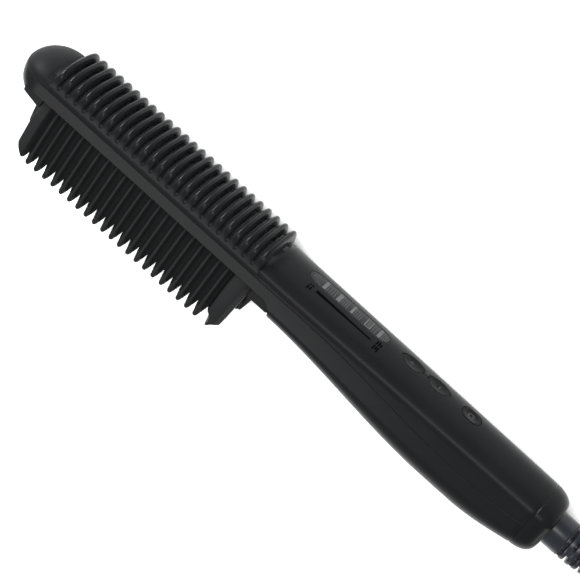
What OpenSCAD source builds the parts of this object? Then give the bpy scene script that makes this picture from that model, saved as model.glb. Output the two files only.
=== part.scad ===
/* [Body] */
// Width of the housings across both flat sides
body_w = 32; // [28:1:38]
// Length of the round nose
nose_len = 14; // [12:1:18]
// Length of the head from the nose to the neck
head_len = 122.6; // [118:0.2:140]
// Length of the handle from the neck to the cap seam
handle_len = 126; // [118:1:150]
// Wall thickness of the housings
wall = 2.2; // [1.6:0.1:2.6]
// Height of the handle's top above the parting plane
top_h = 9; // [8.8:0.1:10.6]
// Depth of the neck below the parting plane
neck_depth = 15.3; // [15:0.1:18]
// Greatest depth of the belly below the parting plane
belly_depth = 23.6; // [20:0.1:25]
// Depth of the handle's belly at the cap seam
tail_depth = 19.2; // [18:0.1:22]
// How far the parting line dips under the palm
parting_dip = 5.5; // [1:0.5:6]
// Height of the side rails beside the comb
rail_h = 5.2; // [4.4:0.1:6]
// How much narrower each side of the handle gets toward the cap
handle_taper = 2.2; // [0:0.1:2.6]

/* [Fins] */
// Distance from one fin to the next
fin_pitch = 4.36; // [4:0.02:5.5]
// Thickness of a fin at its root
fin_root = 2.9; // [2.2:0.1:3.2]
// Thickness of a fin at its crest
fin_crest = 1.1; // [0.8:0.1:1.6]
// Height of the fin crests above the parting plane
fin_top = 12.9; // [12:0.1:13.6]
// Height of the groove floors above the parting plane
groove_h = 8.6; // [7.6:0.1:8.8]

/* [Comb] */
// Length of the guard teeth below the comb frame
guard_len = 21.8; // [16:0.1:26]
// Length of the heated teeth below the comb frame
heated_len = 10.4; // [8:0.1:13]
// Distance from one tooth to the next
tooth_pitch = 4.46; // [4.2:0.02:5.5]
// Depth of the comb frame's face below the parting plane
frame_depth = 12.7; // [11:0.1:14]
// Width of the comb frame
frame_w = 24; // [22:1:25]
// Width of the heated bar
bar_w = 12; // [10:0.5:13]
// Distance between the outer edges of both guard rows at the root
guard_w = 29; // [27:0.5:30]

/* [Controls] */
// Length of the display window
window_len = 40; // [34:1:44]
// Width of the display window
window_w = 7.8; // [6:0.1:9]
// Length of the plus and minus keys
arrow_len = 11.6; // [9:0.1:12]
// Width of the keys
key_w = 7.5; // [6:0.1:8.5]
// Length of the power key
power_len = 9; // [7:0.1:10]
// Travel of the keys
key_travel = 0.3; // [0.2:0.05:0.35]

/* [Cap and swivel] */
// Length of the end cap
cap_len = 8.8; // [8:0.1:12]
// Diameter of the swivel collar
collar_d = 15; // [14:0.1:15.4]
// Free length of the swivel collar behind the cap
collar_len = 7.2; // [5:0.1:10]
// Length of the slotted strain relief
relief_len = 30; // [24:1:40]
// Distance from one relief slot to the next
slot_pitch = 3.1; // [2.8:0.1:4]

/* [Cord and plug] */
// Diameter of the cord
cord_d = 6; // [5:0.1:6.4]
// Length of the folded hank
hank_len = 136; // [124:1:160]
// Width of the folded hank
hank_w = 44; // [40:1:48]
// Height of the folded hank
hank_h = 30; // [24:1:31]
// Diameter of the plug pins
pin_d = 4; // [3.8:0.1:5]
// Free length of the plug pins
pin_len = 19; // [17:0.5:20]
// Distance between the plug pins
pin_gap = 19; // [17:0.5:20]

/* [Hidden] */
$fn = 48;

half_w = body_w / 2;
gap = 0.3;            // clearance between pieces that move or are soft
fit = 0.1;            // clearance between pieces that are glued or snapped in
side_flat = 0.5;      // top edge of the flat side above the parting plane
fin_side = 2.3;       // where the fins leave the flat side
parting_z = -0.4;     // height of the parting line on the head
roundness = 1.9;      // power of the sections' superellipse, where 2 is an ellipse
nose_x = -head_len;
tip_x = nose_x - nose_len;
seam_x = handle_len;
end_x = seam_x + cap_len;
belly_x = 0.78 * handle_len;
deep_x = 0.68 * handle_len;

// Smooth step from 0 to 1 while x runs from a to b
function ease(x, a, b) = 0.5 - 0.5 * cos(180 * max(0, min(1, (x - a) / (b - a))));
// Quarter wave from 0 to 1 while x runs from a to b
function drop(x, a, b) = 1 - cos(90 * max(0, min(1, (x - a) / (b - a))));
// Share of the nose length that x lies in front of the nose's root
function ahead(x) = max(0, min(1, (nose_x - x) / nose_len));
// Share of a height or width that is left at x when the nose rounds off with power n
function nosed(x, n) = pow(1 - pow(ahead(x), n), 1 / n);
function half_at(x) = half_w * nosed(x, 2.28) - handle_taper * max(0, min(1, x / handle_len));
function top_at(x) = top_h * nosed(x, 1.77);
function belly_at(x) = neck_depth + (belly_depth - neck_depth) * ease(x, -5, deep_x)
    - (belly_depth - tail_depth) * drop(x, belly_x, seam_x);
nose_depth = neck_depth - 2.2;
function nose_at(x) = nose_depth * nosed(x, 2.65);
function depth_at(x) = x < nose_x + 1 ? nose_at(x) : x < -12 ? nose_depth : belly_at(x);
function parting_at(x) = parting_z - parting_dip * ease(x, 0.08 * handle_len, belly_x)
    + 0.44 * parting_dip * drop(x, belly_x, seam_x);

// Quarter of a superellipse with half width a and height b, as [across, up]
function arc_point(a, b, n, t) = [a * pow(cos(t), 2 / n), b * pow(sin(t), 2 / n)];
// Arch from +a to -a that stands on vertical flanks from z0 to z1 and reaches z2
function arch(a, z0, z1, z2, n, steps) = concat(
    [[a, z0]],
    [for (i = [0 : steps]) let (p = arc_point(a, z2 - z1, n, 90 * i / steps)) [p[0], z1 + p[1]]],
    [for (i = [steps - 1 : -1 : 0]) let (p = arc_point(a, z2 - z1, n, 90 * i / steps)) [-p[0], z1 + p[1]]],
    [[-a, z0]]
);
function reversed(list) = [for (i = [len(list) - 1 : -1 : 0]) list[i]];
function at(x, ring) = [for (p = ring) [x, p[0], p[1]]];

// Solid through a row of rings that all have the same number of points
module loft(rings, cap = []) {
    n = len(rings[0]);
    last = len(rings) - 1;
    points = [for (ring = rings) for (p = ring) p];
    sides = [
        for (k = [0 : last - 1]) for (i = [0 : n - 1])
        let (j = (i + 1) % n, a = k * n + i, b = k * n + j, c = a + n, d = b + n)
        each [[a, d, b], [a, c, d]]
    ];
    first_cap = cap == [] ? [[for (i = [0 : n - 1]) i]] : cap;
    last_cap = [for (f = first_cap) [for (i = reversed(f)) last * n + i]];
    polyhedron(points, concat(first_cap, sides, last_cap), convexity = 10);
}

// End faces of a shell whose ring is an outer arch and then an inner one, walked backwards
function shell_cap(outer, inner) =
    let (o = 2 * outer + 2, n = o + 2 * inner + 4, m = outer / inner)
    concat(
        [[0, 1, n - 1], [1, n - 2, n - 1], [o - 1, o, o + 1], [o - 1, o + 1, o + 2]],
        [for (k = [0 : 2 * inner - 1]) for (q = [1 : m]) [n - 2 - k, k * m + q, k * m + q + 1]],
        [for (k = [0 : 2 * inner - 1]) [n - 2 - k, (k + 1) * m + 1, n - 3 - k]]
    );

// Puts the comb on its side, with the middle of its floor print at the origin
total_top = fin_top;
total_low = frame_depth + guard_len;
exit_x = end_x + collar_len + relief_len;
mid_x = (tip_x + exit_x) / 2;
mid_z = (total_top - total_low) / 2;
module lay_down() {
    translate([-mid_x, -mid_z, half_w])
        rotate([-90, 0, 0])
            children();
}

// ---- housings ----

outer_steps = 8;
inner_steps = 2;
first_fin = nose_x + 4.1;
last_room = -13.5;
fin_count = floor((last_room - first_fin) / fin_pitch) + 1;

// Points along the parting line, which close a ring of the solid nose
function level_line(a, z, steps) = [for (i = [0 : 2 * steps + 2]) [a * (1 - i / (steps + 1)), z]];
// Ring of the upper shell with its outside from z1 up to z2 and its ceiling at roof
function shell_ring(x, z1, z2, n, roof) =
    let (a = half_at(x), p = parting_at(x))
    at(x, concat(
        arch(a, p, z1, z2, n, outer_steps),
        reversed(arch(a - wall, p, 0.3, roof, roundness, inner_steps))
    ));
function nose_ring(x) =
    let (a = half_at(x), z1 = side_flat * (1.2 - ahead(x)))
    at(x, concat(
        arch(a, parting_z, z1, top_at(x), roundness, outer_steps),
        reversed(level_line(a * 0.85, parting_z, inner_steps))
    ));
function handle_ring(x) = shell_ring(x, side_flat, top_h, roundness, top_h - wall);
function groove_ring(x) = shell_ring(x, fin_side, groove_h, roundness, groove_h - wall);
function crest_ring(x) = shell_ring(x, fin_side, fin_top, 2.7, groove_h - wall);

nose_angles = [87, 78, 68, 58, 48, 38, 28, 18, 8];
nose_xs = [for (t = nose_angles) nose_x - nose_len * sin(t)];
handle_xs = [for (i = [0 : 14]) i * handle_len / 14];
fin_xs = [for (i = [0 : fin_count - 1]) first_fin + i * fin_pitch];
fin_end_x = first_fin + (fin_count - 1) * fin_pitch + fin_root / 2;

module upper_shell() {
    nose = [for (x = concat(nose_xs, [nose_x])) nose_ring(x)];
    root = [
        for (x = [nose_x + 0.2, first_fin - fin_root / 2 - 0.1])
        shell_ring(x, side_flat, top_h, roundness, groove_h - wall)
    ];
    fins = [
        for (x = fin_xs)
        each [groove_ring(x - fin_root / 2), crest_ring(x - fin_crest / 2),
            crest_ring(x + fin_crest / 2), groove_ring(x + fin_root / 2)]
    ];
    neck = [handle_ring(fin_end_x + 0.1)];
    handle = [for (x = handle_xs) handle_ring(x)];
    loft(concat(nose, root, fins, neck, handle), shell_cap(outer_steps, inner_steps));
}

window_x = 2;
window_end = window_x + window_len;
boss_x = window_end + 19;
plus_x = boss_x - arrow_len / 2 - 0.6;
minus_x = boss_x + arrow_len / 2 + 0.6;
power_x = boss_x + 23.2;
deck_z = top_h - 0.3;
boss_r = 1.3;

module window_outline(grow) {
    r = window_w / 2 + grow;
    translate([window_x + window_w / 2, 0])
        circle(r);
    translate([window_x + window_w / 2, -r])
        square([window_len - window_w / 2 + grow, 2 * r]);
}

// Pointed oval, as the overlap of two round discs
module lens_outline(length, width) {
    r = (length * length + width * width) / (4 * width);
    intersection() {
        translate([0, width / 2 - r])
            circle(r);
        translate([0, r - width / 2])
            circle(r);
    }
}

module power_outline(length, width) {
    intersection() {
        translate([-length / 2, -width / 2])
            square([length, width]);
        circle(length / 2);
    }
}

screw_r = 1.2;
nose_screw_x = nose_x - 4;
neck_screw_x = -4.5;
frame_end_x = 0;
boss_outer = 2.6;

module upper_housing() {
    color("#2a2b2d") union() {
        key_boss();
        holed_upper();
    }
}

// Round boss between the plus and minus keys
module key_boss() {
    translate([boss_x, 0, top_h - wall])
        cylinder(r = boss_r, h = wall + 0.1);
}

module holed_upper() {
    difference() {
        union() {
            upper_shell();
            translate([neck_screw_x, 0, parting_z])
                cylinder(r = boss_outer, h = top_h - wall / 2 - parting_z);
        }
        linear_extrude(height = 20)
            window_outline(fit);
        translate([plus_x, 0, 2])
            linear_extrude(height = 20)
                lens_outline(arrow_len + 2 * gap, key_w + 2 * gap);
        translate([minus_x, 0, 2])
            linear_extrude(height = 20)
                lens_outline(arrow_len + 2 * gap, key_w + 2 * gap);
        translate([power_x, 0, 2])
            linear_extrude(height = 20)
                power_outline(power_len + 2 * gap, key_w + 2 * gap);
        for (x = [nose_screw_x, neck_screw_x])
            translate([x, 0, -1])
                cylinder(r = screw_r + 0.05, h = 6.5);
    }
}

flank = 0.42;         // share of the belly's depth that is a flat side
belly_steps = 4;
function belly_arch(x) =
    let (d = depth_at(x))
    arch(half_at(x), parting_at(x), min(parting_at(x) - 0.05, -flank * d * (1.1 - ahead(x))), -d, roundness,
        outer_steps);
function belly_inside(x) =
    let (d = depth_at(x))
    arch(half_at(x) - wall, parting_at(x), -flank * d, wall - d, roundness, belly_steps);
function belly_ring(x) = at(x, concat(reversed(belly_arch(x)), belly_inside(x)));
function chin_ring(x) = at(x, concat(
    reversed(belly_arch(x)),
    level_line(half_at(x) * 0.85, parting_z, belly_steps)
));

recess_nose_x = nose_x - 6.9;
recess_r = 2.5;
board_z = -0.4;
board_t = 1.6;
board_x = 1;
board_end = power_x + 13;
board_w = 2 * (half_at(board_end) - wall - 1.2);
recess_end_r = 5.5;
post_xs = [window_end + 3.5, board_end - 5];
post_r = 2.4;
block_x = seam_x - 14;
block_len = 9;
swivel_z = -3.5;
block_h = 11;

module rail_recess() {
    rotate([90, 0, 0])
        linear_extrude(height = 60, center = true)
            union() {
                translate([recess_nose_x + recess_r, -30])
                    square([-recess_nose_x - recess_r - recess_end_r, 30 - rail_h]);
                translate([recess_nose_x, -30])
                    square([20, 30 - rail_h - recess_r]);
                translate([recess_nose_x + recess_r, -rail_h - recess_r])
                    circle(recess_r);
                translate([-recess_end_r - 1, -30])
                    square([recess_end_r + 1.5, 30 - rail_h - recess_end_r]);
                translate([0.5 - recess_end_r, -rail_h - recess_end_r])
                    circle(recess_end_r);
            }
}

module lower_housing() {
    color("#2c2d30") difference() {
        union() {
            loft(concat(
                [for (x = concat(nose_xs, [nose_x])) chin_ring(x)],
                [for (x = [nose_x + 0.2, -12.2, -11.8, -8, -4]) belly_ring(x)],
                [for (x = handle_xs) belly_ring(x)]
            ), shell_cap(outer_steps, belly_steps));
            for (x = post_xs)
                translate([x, 0, -depth_at(x) + wall / 2])
                    cylinder(r = post_r, h = depth_at(x) - wall / 2 + board_z);
            translate([block_x, -4, -depth_at(block_x) + wall])
                cube([block_len, 8, depth_at(block_x) - wall + swivel_z - block_h / 2]);
        }
        rail_recess();
        translate([recess_nose_x, -frame_w / 2 - fit, -rail_h - recess_r])
            cube([nose_x + 1.2 - recess_nose_x, frame_w + 2 * fit, rail_h + recess_r + 1]);
        for (x = post_xs)
            translate([x, 0, board_z - 8])
                cylinder(r = 1.05, h = 10);
    }
}

function cap_ring(x, inset) =
    let (a = half_at(x) - inset, t = top_at(x) - inset, d = depth_at(min(x, seam_x)) - inset)
    at(x, concat(
        [for (i = [0 : 2 * outer_steps])
            let (u = 90 * i / outer_steps, s = u > 90 ? -1 : 1)
            let (q = arc_point(a, t - side_flat, roundness, u > 90 ? 180 - u : u))
            [s * q[0], side_flat + q[1]]],
        [for (i = [0 : 2 * outer_steps])
            let (u = 90 * i / outer_steps, s = u > 90 ? 1 : -1)
            let (q = arc_point(a, (1 - flank) * d, roundness, u > 90 ? 180 - u : u))
            [s * q[0], -flank * d - q[1]]]
    ));
cap_round = 4.6;
cap_wall = 3.5;
lip_step = 1.3;
lip_t = 1.3;
function cap_inset(x) = cap_round * (1 - sqrt(1 - pow(min(1, (x - seam_x) / cap_len), 2)));
cap_xs = [for (t = [0, 20, 36, 50, 62, 72, 81, 90]) seam_x + cap_len * sin(t)];

module end_cap() {
    color("#2a2b2d") difference() {
        union() {
            loft([for (x = cap_xs) cap_ring(x, cap_inset(x))]);
            loft([cap_ring(seam_x - 4, wall + lip_step), cap_ring(seam_x + 1, wall + lip_step)]);
        }
        loft([for (x = [seam_x - 5, seam_x + 1]) cap_ring(x, wall + lip_step + lip_t)]);
        loft([cap_ring(seam_x + 0.8, wall), cap_ring(end_x - cap_wall, wall)]);
        translate([seam_x, 0, swivel_z])
            rotate([0, 90, 0])
                cylinder(d = collar_d + 0.1, h = 20);
    }
}

// ---- comb ----

bar_x = nose_x - 0.5;
bar_end = -8.5;
bar_top = -4;
head_z = -frame_depth + 3.4;
frame_top = -3;
flange_w = body_w - 2 * wall - 0.4;

// A guard tooth is a slim ridge on a web that ends above the tips. Its levels, from the
// rail down, are [share of the length, root share, edge share, step in from inside, lean share]
tooth_levels = [
    [0, 1, 1, 0, 0], [0.26, 1, 1, 0, 0.1], [0.79, 1, 1.1, 0.1, 0.72], [0.83, 0.9, 1.3, 0.1, 0.77],
    [0.87, 0.78, 1.5, 0.15, 0.82], [0.91, 0.66, 1.6, 0.2, 0.88], [0.945, 0.55, 1.55, 0.35, 0.96],
    [0.972, 0.43, 1.3, 0.6, 1.05], [0.99, 0.29, 0.95, 0.9, 1.16], [1, 0.14, 0.5, 1.3, 1.32]
];
guard_top = -rail_h - gap;
guard_tip = -frame_depth - guard_len;
function guard_level(share) = guard_top + (guard_tip - guard_top) * share;
module guard_tooth() {
    loft([
        for (l = reversed(tooth_levels))
        let (
            z = guard_level(l[0]),
            a = (tooth_pitch / 2 + 0.05) * l[1],
            b = guard_edge * l[2] / 2,
            y1 = guard_in + l[3],
            y2 = guard_w / 2 - guard_lean * l[4],
            m = max(y1 + 0.4, y2 - flute_depth * l[1])
        )
        [[-a, y1, z], [a, y1, z], [a, m, z], [b, y2, z], [-b, y2, z], [-a, m, z]]
    ]);
}

first_guard = nose_x + 11.3;
end_guard_x = -20;
guard_count = floor((end_guard_x - 2 - first_guard) / tooth_pitch) + 1;
guard_in = bar_w / 2 + 2;
guard_edge = 1.1;
guard_lean = 2.2;
flute_depth = 2.6;

// End guards, as rows of [share of the length, left edge, right edge, step in, lean share]
nose_guard = [
    [0, 1, 7, 0, 0], [0.26, 0.5, 7, 0, 0.1], [0.3, 0, 7, 0, 0.2], [0.79, 0.6, 6.9, 0.1, 0.75],
    [0.86, 1.3, 6.2, 0.4, 0.85],
    [0.93, 3, 5.8, 1, 1], [0.98, 4.2, 5.4, 1.8, 1.25], [1, 4.6, 5.1, 2.4, 1.5]
];
neck_guard = [
    [0, 0, 9.4, 0, 0], [0.26, 0, 9.1, 0, 0.1], [0.78, 0.2, 8.3, 0.1, 0.75], [0.82, 1.8, 8.2, 0.2, 0.78],
    [0.875, 2.4, 8.1, 0.4, 0.86], [0.9, 2.6, 7.4, 0.6, 0.92], [0.96, 3, 5.5, 1.2, 1.1],
    [1, 3.2, 4.3, 1.8, 1.3]
];
module end_guard(rows, left_chamfer, right_chamfer) {
    loft([
        for (l = reversed(rows))
        let (
            z = guard_level(l[0]),
            y1 = guard_in + l[3],
            y2 = guard_w / 2 - guard_lean * l[4],
            wide = l[2] - l[1],
            c1 = min(left_chamfer, wide / 3),
            c2 = min(right_chamfer, wide / 3)
        )
        [
            [l[1], y1, z], [l[2], y1, z], [l[2], y2 - c2, z],
            [l[2] - c2, y2, z], [l[1] + c1, y2, z], [l[1], y2 - c1, z]
        ]
    ]);
}

module guard_comb() {
    color("#1c1d1f") union() {
        difference() {
            union() {
                rotate([90, 0, 0])
                    linear_extrude(height = frame_w, center = true)
                        polygon([
                            [recess_nose_x + 0.4, -rail_h], [recess_nose_x + 0.4, -frame_depth + 2.8],
                            [nose_x + 1, -frame_depth + 1.4], [nose_x + 2.8, -frame_depth],
                            [frame_end_x - 1.2, -frame_depth],
                            [frame_end_x, -frame_depth + 1.2], [frame_end_x, -rail_h]
                        ]);
                translate([recess_nose_x + 0.4, -frame_w / 2, -rail_h - 1])
                    cube([10, frame_w, rail_h + frame_top + 1]);
                translate([nose_x + 1, -flange_w / 2, -rail_h])
                    cube([frame_end_x - nose_x - 1, flange_w, rail_h + frame_top]);
                for (x = [nose_screw_x, neck_screw_x])
                    translate([x, 0, frame_top])
                        cylinder(r = 2.4, h = parting_z - frame_top);
            }
            translate([bar_x - fit, -bar_w / 2 - fit, -40])
                cube([bar_end - bar_x + 2 * fit, bar_w + 2 * fit, 60]);
            for (s = [-1, 1])
                translate([bar_end - 1, s * lead_y - lead_r - gap, channel_z])
                    cube([30, 2 * (lead_r + gap), 20]);
            for (x = [nose_screw_x, neck_screw_x]) {
                translate([x, 0, -30])
                    cylinder(r = screw_r + 0.1, h = 40);
                translate([x, 0, head_z - 8])
                    cylinder(r = 2.3, h = 8);
            }
        }
        for (side = [0, 1])
            mirror([0, side, 0]) {
                for (i = [0 : guard_count - 1])
                    translate([first_guard + i * tooth_pitch, 0, 0])
                        guard_tooth();
                translate([nose_x + 3, 0, 0])
                    end_guard(nose_guard, 2.2, 0.4);
                translate([end_guard_x, 0, 0])
                    end_guard(neck_guard, 0.4, 1.6);
            }
    }
}

last_heated = bar_end - 1.8;
heated_count = floor((last_heated - bar_x - 1.8) / tooth_pitch) + 1;
channel_w = 9;
channel_z = -7;

module heated_comb() {
    color("#151617") difference() {
        union() {
            translate([bar_x, -bar_w / 2, -frame_depth])
                cube([bar_end - bar_x, bar_w, frame_depth + bar_top]);
            for (i = [0 : heated_count - 1])
                translate([last_heated - i * tooth_pitch, 0, -frame_depth])
                    rotate([90, 0, 0])
                        linear_extrude(height = bar_w - 2, center = true)
                            polygon([
                                [-1.6, 0.5], [1.6, 0.5], [1.6, 0], [0.6, -heated_len + 0.9],
                                [0.25, -heated_len], [-0.25, -heated_len],
                                [-0.6, -heated_len + 0.9], [-1.6, 0]
                            ]);
        }
        translate([bar_x - 1, -channel_w / 2, channel_z])
            cube([bar_end - bar_x + 2, channel_w, 20]);
    }
}

bead_len = 5;
heater_x = bar_x + 26.5;
heater_end = bar_end - bead_len - 4.5;
heater_len = heater_end - heater_x;
heater_w = channel_w - 0.4;
heater_t = 1.8;
mica_t = 0.4;
clamp_z = channel_z + heater_t + mica_t;

module ceramic_heater() {
    color("#e8e4da") translate([heater_x, -heater_w / 2, channel_z])
        cube([heater_len, heater_w, heater_t]);
}

module mica_sheet() {
    color("#b9ab8c") translate([heater_x + 1, -heater_w / 2, channel_z + heater_t])
        cube([heater_len - 2, heater_w, mica_t]);
}

module heater_clamp() {
    color("#9a9c9f") difference() {
        translate([heater_x + 4, -heater_w / 2, clamp_z])
            cube([heater_len - 8, heater_w, bar_top - clamp_z + 1.6]);
        for (x = [heater_x + 12 : 12 : heater_end - 18])
            translate([x, -channel_w / 2, clamp_z + 0.9])
                cube([6, channel_w, 10]);
    }
}

module thermistor() {
    color("#c9b27a") translate([heater_end + 3, 0, channel_z + 1.1])
        rotate([0, 90, 0])
            cylinder(r = 1.1, h = bead_len);
}

module thermal_fuse() {
    color("#d8d8d8") translate([heater_x - 14, 0, channel_z + 1.4])
        rotate([0, 90, 0])
            cylinder(r = 1.4, h = 10);
}

module comb_screws() {
    color("#8d9094") for (x = [nose_screw_x, neck_screw_x])
        translate([x, 0, 0]) {
            translate([0, 0, head_z - 1.2])
                cylinder(r = 2.1, h = 1.2);
            translate([0, 0, head_z - 0.1])
                cylinder(r = screw_r, h = 4.6 - head_z);
        }
}

// ---- electronics ----

module main_board() {
    color("#1f5a34") difference() {
        translate([board_x, -board_w / 2, board_z])
            cube([board_end - board_x, board_w, board_t]);
        for (x = post_xs)
            translate([x, 0, board_z - 1])
                cylinder(r = 1.15, h = 5);
    }
}

board_top = board_z + board_t;

module board_parts() {
    color("#242628") {
        translate([boss_x - 6, -4, board_z - 1.8])
            cube([12, 8, 1.8]);
        translate([power_x - 2, -10, board_z - 7])
            cube([9, 8, 7]);
        translate([window_end - 6, 5, board_z])
            rotate([180, 0, 0])
                cylinder(r = 3.2, h = 8);
    }
}

module board_screws() {
    color("#8d9094") for (x = post_xs)
        translate([x, 0, board_top]) {
            cylinder(r = 1.9, h = 1);
            translate([0, 0, -8])
                cylinder(r = 1, h = 8.5);
        }
}

switch_h = 2.6;
plunger_h = 0.4;

module tact_switches() {
    color("#3a3c3f") for (x = [plus_x, minus_x, power_x])
        translate([x, 0, board_top]) {
            translate([-3, -3, 0])
                cube([6, 6, switch_h]);
            cylinder(r = 1.6, h = switch_h + plunger_h);
        }
}

window_t = 2;
window_top = deck_z - 0.15;

module display_module() {
    color("#d9d9d4") translate([window_x + 3, -window_w / 2 + 0.3, board_top])
        cube([window_len - 4, window_w - 0.6, window_top - window_t - board_top]);
}

module display_window() {
    color("#1b1c20") translate([0, 0, window_top - window_t])
        linear_extrude(height = window_t)
            window_outline(0);
}

// Key head with a dished top, a flange under the deck and a stem over its switch
key_top = deck_z + 0.05;
flange_t = 0.9;
flange_top = top_h - wall - 1.3;
stem_z = board_top + switch_h + plunger_h + key_travel + 0.05;
module key_body(length) {
    difference() {
        union() {
            translate([0, 0, flange_top - 0.1])
                linear_extrude(height = key_top - flange_top + 0.1)
                    children(0);
            translate([0, 0, flange_top - flange_t])
                linear_extrude(height = flange_t)
                    children(1);
            translate([0, 0, stem_z])
                cylinder(r = 1.5, h = flange_top - stem_z);
        }
        translate([0, 0, key_top + length * 2 - 0.35])
            sphere(r = length * 2, $fn = 96);
    }
}

// Arrow key whose inner tip, on the given side, is hollowed around the round boss
module arrow_key(side) {
    boss_away = side * (arrow_len / 2 + 0.6);
    key_body(arrow_len) {
        difference() {
            lens_outline(arrow_len, key_w);
            translate([boss_away, 0])
                circle(boss_r + gap);
        }
        difference() {
            intersection() {
                lens_outline(arrow_len + 1.6, key_w + 1.6);
                square([arrow_len + 0.6, key_w + 4], center = true);
            }
            translate([boss_away, 0])
                circle(boss_r + gap);
        }
    }
}

module plus_key() {
    color("#101114") translate([plus_x, 0, 0])
        arrow_key(1);
}

module minus_key() {
    color("#101114") translate([minus_x, 0, 0])
        arrow_key(-1);
}

module power_key() {
    color("#101114") translate([power_x, 0, 0])
        key_body(power_len) {
            power_outline(power_len, key_w);
            power_outline(power_len + 1.6, key_w + 1.6);
        }
}

lead_r = 0.7;
lead_y = 3.6;

module contact_block() {
    color("#cfcabd") translate([block_x, -7, swivel_z - block_h / 2])
        cube([block_len, 14, block_h]);
}

module heater_leads() {
    color("#b8bcc0") for (s = [-1, 1])
        sweep([
            [heater_end, s * lead_y, channel_z + 0.9], [bar_end - 3, s * lead_y, channel_z + 0.9],
            [bar_end, s * lead_y, channel_z + 1.4], [bar_end + 4, s * lead_y, channel_z + 2.2],
            [frame_end_x - 1, s * lead_y, channel_z + 3], [board_x, s * lead_y, board_z - 2.6],
            [board_x + 2, s * lead_y, board_z - 1.4], [board_x + 2.6, s * lead_y, board_z - 0.8],
            [board_x + 2.6, s * lead_y, board_z]
        ], lead_r, 8);
}

module supply_leads() {
    color("#8a4b32") for (s = [-1, 1])
        translate([board_end, s * 4, board_z + board_t / 2])
            rotate([0, 90, 0])
                cylinder(r = lead_r, h = block_x - board_end);
}

// ---- swivel, cord and plug ----

bore_r = cord_d / 2 + gap;
swivel_in = end_x - cap_wall - gap;

module swivel_collar() {
    color("#14161c") difference() {
        union() {
            translate([swivel_in - 0.1, 0, swivel_z])
                rotate([0, 90, 0])
                    cylinder(d = collar_d, h = end_x + collar_len - swivel_in + 0.1);
            translate([swivel_in - 1.6, 0, swivel_z])
                rotate([0, 90, 0])
                    cylinder(d = collar_d + 3.4, h = 1.6);
            translate([block_x + block_len + gap, 0, swivel_z])
                rotate([0, 90, 0])
                    cylinder(r = 4.6, h = swivel_in - block_x - block_len - gap - 1);
        }
        translate([end_x - 1, 0, swivel_z])
            rotate([0, 90, 0])
                cylinder(r = bore_r, h = 40);
    }
}

relief_x = end_x + collar_len;
slot_w = 1.3;
slot_count = floor((relief_len - 4) / slot_pitch);

module strain_relief() {
    color("#0d0f16") difference() {
        translate([relief_x, 0, swivel_z])
            rotate([0, 90, 0])
                rotate_extrude()
                    polygon([
                        [bore_r, 0], [collar_d / 2, 0], [collar_d / 2, 6],
                        [cord_d / 2 + 1.5, relief_len - 1],
                        [cord_d / 2 + 1.1, relief_len], [bore_r, relief_len]
                    ]);
        for (i = [0 : slot_count - 1])
            translate([relief_x + 0.6 + i * slot_pitch, 0, swivel_z])
                rotate([90 * i, 0, 0])
                    difference() {
                        rotate([0, 90, 0])
                            cylinder(r = 20, h = slot_w);
                        translate([-1, -20, -1.6])
                            cube([slot_w + 2, 40, 3.2]);
                        translate([-1, 0, 0])
                            rotate([0, 90, 0])
                                cylinder(r = cord_d / 2 + 0.9, h = slot_w + 2);
                    }
    }
}

function unit(v) = v / norm(v);
// Tube of radius r with n sides along a list of points
module sweep(path, r, n) {
    last = len(path) - 1;
    loft([
        for (k = [0 : last])
        let (
            t = unit(path[min(last, k + 1)] - path[max(0, k - 1)]),
            side = unit(cross(abs(t[2]) > 0.9 ? [1, 0, 0] : [0, 0, 1], t)),
            up = cross(t, side)
        )
        [for (i = [0 : n - 1]) let (a = 360 * (i + 0.5) / n) path[k] + r * (cos(a) * side + sin(a) * up)]
    ]);
}

// Cord route from the strain relief, as [along, across, height] from the relief's end
exit_point = [exit_x - mid_x, swivel_z - mid_z, 0];
cord_route = [
    [0, 0, 0], [10, 0, -0.3], [20, -0.3, -1.5], [30, -1, -3.8], [41, -2, -7], [52, -3, -10], [63, -4, -12],
    [72, -4.6, -12.8], [79, -5, -12.2], [86, -5, -12.2]
];
run_out = 86;
tail_route = [[0, 0, 0], [5, 0, 0], [10, 0, 0.9], [15, 0, 2.3], [20, 0, 3.5], [25, 0, 4], [30, 0, 4]];
tail_run = 30;
tie_t = 0.8;
hank_x = exit_point[0] + run_out;
hank_end = hank_x + hank_len;
cord_rise = half_w;

module cord() {
    color("#101114") sweep(
        concat(
            [[end_x + 1 - mid_x, exit_point[1], cord_rise], [relief_x - mid_x, exit_point[1], cord_rise]],
            [for (p = cord_route) [exit_point[0] + p[0], exit_point[1] + p[1], cord_rise + p[2]]]
        ), cord_d / 2, 10);
}

module cord_hank() {
    color("#101114") translate([0, 0, tie_t])
        linear_extrude(height = hank_h)
            union() {
                for (x = [hank_x + hank_w / 2, hank_end - hank_w / 2])
                    translate([x, 0])
                        circle(hank_w / 2);
                translate([hank_x + hank_w / 2, -hank_w / 2])
                    square([hank_len - hank_w, hank_w]);
            }
}

module hank_tie() {
    color("#202226") translate([(hank_x + hank_end) / 2 - 4, 0, 0])
        difference() {
            translate([0, -hank_w / 2 - tie_t, 0])
                cube([8, hank_w + 2 * tie_t, hank_h + 2 * tie_t]);
            translate([-1, -hank_w / 2, tie_t])
                cube([10, hank_w, hank_h]);
        }
}

tail_z = tie_t + cord_d / 2;
plug_x = hank_end + tail_run;
plug_z = tail_z + 4;
plug_relief_len = 16;
plug_len = 34;
plug_w = 34;

module cord_tail() {
    color("#101114") sweep([for (p = tail_route) [hank_end + p[0], p[1], tail_z + p[2]]], cord_d / 2, 10);
}

module plug_relief() {
    color("#101114") translate([plug_x, 0, plug_z])
        rotate([0, 90, 0])
            cylinder(r1 = cord_d / 2 + 0.6, r2 = cord_d / 2 + 2, h = plug_relief_len);
}

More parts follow.
